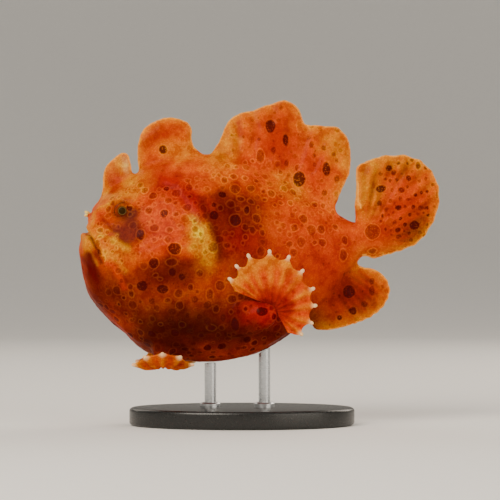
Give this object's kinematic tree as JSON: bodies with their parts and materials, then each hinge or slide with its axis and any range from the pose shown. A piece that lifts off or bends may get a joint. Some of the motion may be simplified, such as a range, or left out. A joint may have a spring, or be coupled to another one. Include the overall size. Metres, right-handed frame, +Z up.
{
  "type": "frogfish model",
  "caption": "Life-size still model of a young orange frogfish with spotted fins, hand-like side fins and an upturned mouth, held over an oval base by short rods.",
  "frame": {"origin": "middle of the whole model's footprint, on the underside of the stand", "axes": "+Z up, +X from the snout towards the tail, +Y towards the fish's right side"},
  "size_m": [0.08, 0.034, 0.0722],
  "materials": {
    "skin": "wet-looking painted fish skin, orange with red clouds and dark ring spots",
    "fin": "thin glowing orange fin skin with dark spots and a pale rim",
    "lure": "pale translucent skin",
    "eye": "clear glossy eye with an olive brown iris",
    "base": "satin black cast acrylic",
    "rod": "fine brushed stainless steel"
  },
  "bodies": {
    "root": {"eye_left": "eye", "eye_right": "eye", "jaw_lower": "skin", "head": "skin", "torso": "skin", "tail_stem": "skin", "dorsal_spine_second": "skin", "dorsal_spine_third": "skin", "fin_dorsal_soft": "fin", "fin_caudal": "fin", "fin_anal": "fin", "fishing_rod": "lure", "arm_left": "skin", "arm_right": "skin", "fin_pectoral_left": "fin", "fin_pectoral_right": "fin", "leg_left": "skin", "leg_right": "skin", "fin_pelvic_left": "fin", "fin_pelvic_right": "fin", "stand_base": "base", "stand_rod_front": "rod", "stand_rod_rear": "rod"}
  },
  "joints": []
}
